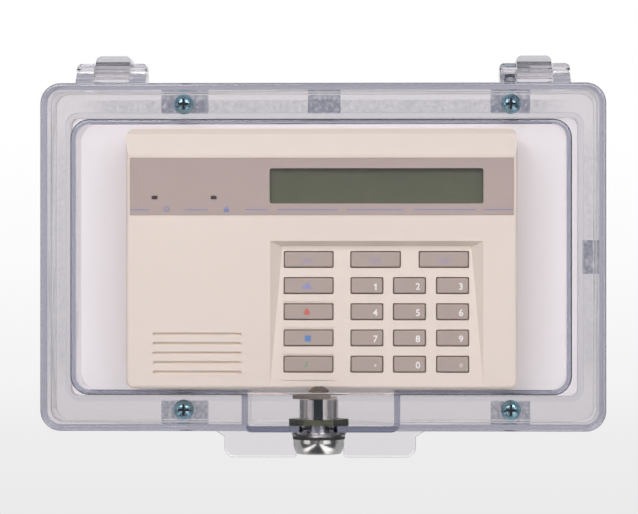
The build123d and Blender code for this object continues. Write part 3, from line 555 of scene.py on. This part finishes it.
# Circuit board and key mat: both hidden inside. The board is green with copper runs under the
# mask, and the mat is pale silicone rubber with a dull bloom.
board_tones = (linear(28, 84, 48), linear(62, 122, 66))
mat_tones = (linear(176, 174, 170), linear(158, 156, 152))
run_slant = 0.3
run_pitch = 1.3 * mm
run_half = 0.35 * mm
material, start, shader = new_finish("green_board", Roughness=0.35, Coat_Weight=0.3)
point = start.axes()
copper = (point["X"] + run_slant * point["Z"]).folded(run_pitch) < run_half
feed(start.blend(copper, *board_tones), shader, "Base Color")
feed(start.bumps(copper, strength=0.3, distance=0.05 * mm), shader, "Normal")
dress(material, "circuit_board")
silicone = moulded("mat_silicone", *mat_tones, roughness=0.7, grain=0.1, scale=1200.0)
dress(silicone, "key_mat")

# Keys: nineteen caps in satin taupe plastic that slide in the sloping well. Numbers are printed
# in white, right of the middle of a cap, and the function keys carry small coloured signs.
cap_tones = (linear(184, 168, 158), linear(173, 156, 147))
keys = sorted(n for n in nodes if n.startswith("key_") and n != "key_mat")
material, start, shader = new_finish("key_caps", Roughness=0.44, Specular_IOR_Level=0.42)
drift = 0.5 * start.noise(scale=60.0) + 0.5 * start.noise(scale=1400.0)
feed(start.blend(drift, *cap_tones), shader, "Base Color")
feed(start.bumps(pebbles(start, 2600.0), strength=0.16, distance=0.1 * mm), shader, "Normal")
feed(0.36 + 0.14 * drift, shader, "Roughness")
dress(material, *keys)

# The key field leans back: over its height, its top lies this much behind its bottom
well_back = 5.0 * mm
well_height = (7.1 + 57.0) * mm
well_tilt = math.atan2(well_back, well_height)
outward = Vector((0, -math.cos(well_tilt), math.sin(well_tilt)))
face_tolerance = 0.02 * mm


def cap_plane(key):
    """The plane of a key's face, with its origin in the middle of the cap."""
    points = [v.co for v in nodes[key].data.vertices]
    top = max(p.dot(outward) for p in points)
    face = [p for p in points if p.dot(outward) > top - face_tolerance]
    middle = sum(face, Vector()) / len(face)
    x = (min(p.x for p in face) + max(p.x for p in face)) / 2
    z = (min(p.z for p in face) + max(p.z for p in face)) / 2
    y = middle.y + (z - middle.z) * math.tan(well_tilt)
    return facing(y, x, z, well_tilt)


white_ink = ink("white_ink", linear(250, 247, 246))
grey_ink = ink("grey_ink", linear(232, 224, 219))
digit_height = 4.1 * mm
digit_weight = 0.085 * mm
digit_place = (3.7 * mm, -0.6 * mm)
for digit in (0, 2, 3, 4, 5, 6, 7, 8, 9):
    key = f"key_{digit}"
    curve = bpy.data.curves.new(key + "_number", "FONT")
    curve.body = str(digit)
    curve.align_x = "CENTER"
    curve.align_y = "CENTER"
    curve.size = digit_height
    curve.offset = digit_weight
    curve.extrude = print_height / 2
    curve.materials.append(white_ink)
    piece = add_object(key + "_number", curve)
    piece.matrix_world = cap_plane(key) @ Matrix.Translation((*digit_place, print_height / 2))
    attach(piece, key + "_press")


def print_on_key(key, kind, outlines, place, material):
    """Prints outlines, which are in millimetres, at a place on a key's face."""
    x, y = place
    moved = [[(x + u * mm, y + v * mm) for u, v in outline] for outline in outlines]
    printed(key + kind, moved, cap_plane(key), material, key + "_press")


# Three of the numbers are drawn as outlines instead of written in the font
hash_half = 0.12
one = [[(-0.05, -1.45), (0.6, -1.45), (0.6, 1.45), (0.15, 1.45), (-0.75, 0.75), (-0.55, 0.35),
        (-0.05, 0.7)]]
star = [[(r * math.sin(math.pi * i / 6), r * math.cos(math.pi * i / 6))
         for i, r in enumerate([0.85, 0.36] * 6)]]
hash_sign = [bar(x - hash_half, x + hash_half, -0.95, 0.95) for x in (-0.36, 0.36)]
hash_sign += [bar(left, right, y - hash_half, y + hash_half) for y in (-0.34, 0.34)
              for left, right in ((-0.85, -0.48), (-0.24, 0.24), (0.48, 0.85))]
print_on_key("key_1", "_number", one, digit_place, white_ink)
print_on_key("key_star", "_number", star, digit_place, grey_ink)
print_on_key("key_hash", "_number", hash_sign, digit_place, grey_ink)

lavender_ink = ink("lavender_ink", linear(158, 152, 196))
pale_blue_ink = ink("pale_blue_ink", linear(146, 150, 200))
red_ink = ink("red_ink", linear(206, 98, 80))
blue_sign_ink = ink("blue_sign_ink", linear(84, 132, 196))
green_ink = ink("green_ink", linear(126, 170, 130))
dashes = [bar(x - 0.75, x + 0.75, 0.27, 0.83) for x in (-1.8, 0.0, 1.8)]
dashes += [bar(-2.3, 2.3, -0.83, -0.4)]
house = [[(-2.2, -1.3), (2.2, -1.3), (2.2, -0.5), (1.4, -0.4), (0.9, 1.4), (-0.2, 1.4),
          (-0.9, 0.2), (-2.2, -0.3)]]
flame = [[(-1.35, -1.4), (1.35, -1.4), (1.2, 0.1), (0.5, 1.0), (0.1, 1.7), (-0.5, 1.1),
          (-1.15, 0.1)]]
square = [bar(-1.35, 1.35, -1.35, 1.35)]
upright = [bar(-0.35, 0.35, -1.4, 1.4), bar(0.35, 1.05, 0.6, 1.2), bar(-1.05, -0.35, -1.2, -0.6)]
for key, outlines, x, y, material in (
    ("key_function_1", dashes, -0.5, -0.6, lavender_ink),
    ("key_wide_left", dashes, -0.3, -0.6, lavender_ink),
    ("key_wide_right", dashes, 0.2, -0.6, lavender_ink),
    ("key_function_2", house, -0.7, -0.3, pale_blue_ink),
    ("key_function_3", flame, -0.7, 0.0, red_ink),
    ("key_function_4", square, -0.3, -0.3, blue_sign_ink),
    ("key_function_5", upright, -0.8, -0.2, green_ink),
):
    print_on_key(key, "_sign", outlines, (x * mm, y * mm), material)

# Studio: a sweep of pale paper, from the floor up into the backdrop, light grey below and white
# above. Gloss and clear plastic see its near end as a darker room with two bright patches in it.
floor_z = -0.6
floor_front_y = -5.0
wall_y = 4.2
wall_top_z = 4.5
bend_radius = 1.2
bend_steps = 16
sweep_half = 6.0
profile = [(floor_front_y, floor_z)]
for i in range(bend_steps + 1):
    turn = math.pi / 2 * i / bend_steps
    profile.append((wall_y - bend_radius + bend_radius * math.sin(turn),
                    floor_z + bend_radius - bend_radius * math.cos(turn)))
profile.append((wall_y, wall_top_z))
mesh = bmesh.new()
rows = [[mesh.verts.new((x, y, z)) for x in (-sweep_half, sweep_half)] for y, z in profile]
for lower, upper in zip(rows, rows[1:]):
    mesh.faces.new([lower[0], lower[1], upper[1], upper[0]])
data = bpy.data.meshes.new("sweep")
mesh.to_mesh(data)
mesh.free()
for face in data.polygons:
    face.use_smooth = True
sweep = add_object("sweep", data)

# The tones of the paper, by its slope as seen from a spot this far in front of the part
shade_distance = 1.24
shade_slope = (-0.10, 0.06)
shades = ((0.0, 234), (0.06, 234.5), (0.23, 238), (0.34, 243), (0.53, 248), (0.64, 251),
          (0.88, 254.5), (1.0, 255))
aside_slope = (0.146, 0.47)
aside_share = 0.6
aside_tone = (0.30, 0.305, 0.325, 1)
near_y = (-0.04, -0.48)
near_tone = (0.42, 0.42, 0.44, 1)
near_gloss_tone = (0.09, 0.09, 0.10, 1)
patches_x = ((-1.06, -0.57), (0.29, 1.01))
patch_blur = 0.06
patch_tone = (1.75, 1.75, 1.75, 1)
material, start, shader = new_finish(
    "sweep_paper", Base_Color=(0.82, 0.82, 0.82, 1), Roughness=0.9
)
spot = start.node("SeparateXYZ", Vector=start.node("NewGeometry")["Position"])
depth = (spot["Y"] + shade_distance).most(0.05)
stops = [(at, linear(tone, tone, tone)) for at, tone in shades]
shade = start.node("ValToRGB", {"stops": stops}, Fac=(spot["Z"] / depth).ramp(*shade_slope))
aside = (abs(spot["X"]) / depth).ramp(*aside_slope, 0.0, aside_share)
far_paper = start.blend(aside, shade["Color"], aside_tone)
rays = start.node("LightPath")
patches = sum(within(spot["X"], *span, patch_blur) for span in patches_x)
near_paper = start.blend(rays["Is Glossy Ray"], near_tone, near_gloss_tone)
near_paper = start.blend(patches, near_paper, patch_tone)
bent = start.blend(spot["Y"].ramp(*near_y), far_paper, near_paper)
glow = start.node("Emission", Color=start.blend(rays["Is Camera Ray"], bent, shade["Color"]),
                  Strength=1.0)
seen = rays["Is Camera Ray"].most(rays["Is Transmission Ray"]).most(rays["Is Glossy Ray"])
stand_in(start, shader, seen, glow)
data.materials.append(material)

# The air: a soft even light, a room with two bright boxes for gloss, a pale tent for clear
# plastic, and a plain pale grey for the camera
box_spans = ((-0.92, -0.64), (0.36, 0.80))
box_blur = 0.04
box_rise = (-0.45, 0.35)
box_rise_blur = 0.08
front_turn = (0.3, -0.2)
back_room = (0.55, 0.56, 0.58, 1)
dark_room = (0.10, 0.105, 0.115, 1)
bright_box = (1.9, 1.9, 1.9, 1)
tent_stops = [(0.0, (0.80, 0.79, 0.80, 1)), (0.5, (0.88, 0.88, 0.90, 1)),
              (0.7, (0.86, 0.86, 0.88, 1)), (1.0, (0.82, 0.82, 0.84, 1))]
tent_front = (0.40, 0.405, 0.42, 1)
tent_box = (1.3, 1.3, 1.3, 1)
world = bpy.data.worlds.new("studio_air")
bpy.context.scene.world = world
world.use_nodes = True
air = Wire(world.node_tree)
toward = air.node("SeparateXYZ", Vector=air.node("TexCoord")["Generated"])
side, back, rise = toward["X"], toward["Y"], toward["Z"]
front = back.ramp(*front_turn)
boxes = sum(within(side, *span, box_blur) for span in box_spans)
boxes = boxes * within(rise, *box_rise, box_rise_blur)
glints = air.blend(front * boxes, air.blend(front, back_room, dark_room), bright_box)
tent = air.node("ValToRGB", {"stops": tent_stops}, Fac=0.5 * rise + 0.5)
tent = air.blend(front, tent["Color"], air.blend(boxes, tent_front, tent_box))
lit = air.node("Background", Color=(0.82, 0.81, 0.80, 1), Strength=0.54)
mirrored = air.node("Background", Color=glints, Strength=1.0)
passed = air.node("Background", Color=tent, Strength=1.0)
open_air = air.node("Background", Color=(0.83, 0.83, 0.84, 1), Strength=1.0)
rays = air.node("LightPath")
held = air.either(rays["Is Glossy Ray"], lit, mirrored)
held = air.either(rays["Is Transmission Ray"], held, passed)
held = air.either(rays["Is Camera Ray"], held, open_air)
feed(held, world.node_tree.nodes["World Output"], "Surface")

# The lamps: two soft boxes in front and above, one each side, aimed at the middle of the part
lamp_size = (1.0, 0.9)


def soft_lamp(name, place, power):
    light = bpy.data.lights.new(name, "AREA")
    light.shape = "RECTANGLE"
    light.size, light.size_y = lamp_size
    light.energy = power
    lamp = add_object(name, light)
    lamp.location = place
    lamp.rotation_euler = (-Vector(place)).to_track_quat("-Z", "Y").to_euler()


soft_lamp("key_lamp", (-0.6, -1.6, 0.9), power=15.2)
soft_lamp("fill_lamp", (0.62, -1.6, 0.8), power=11.6)

# Camera: level with the middle of the part and a touch to the right of square on, from 1.2 m
# away with a long lens, as the part was photographed.
view_distance = 1.2
view_turn = math.radians(1.4)
aim = Vector((-1.63 * mm, -37.0 * mm, 0.0))
camera = add_object("camera", bpy.data.cameras.new("camera"))
camera.data.sensor_width = 36.0
camera.data.lens = 154.0
camera.data.clip_start = 0.01
camera.location = aim + view_distance * Vector((math.sin(view_turn), -math.cos(view_turn), 0))
camera.rotation_euler = (aim - camera.location).to_track_quat("-Z", "Y").to_euler()
bpy.context.scene.camera = camera
bpy.context.scene.view_settings.view_transform = "Standard"
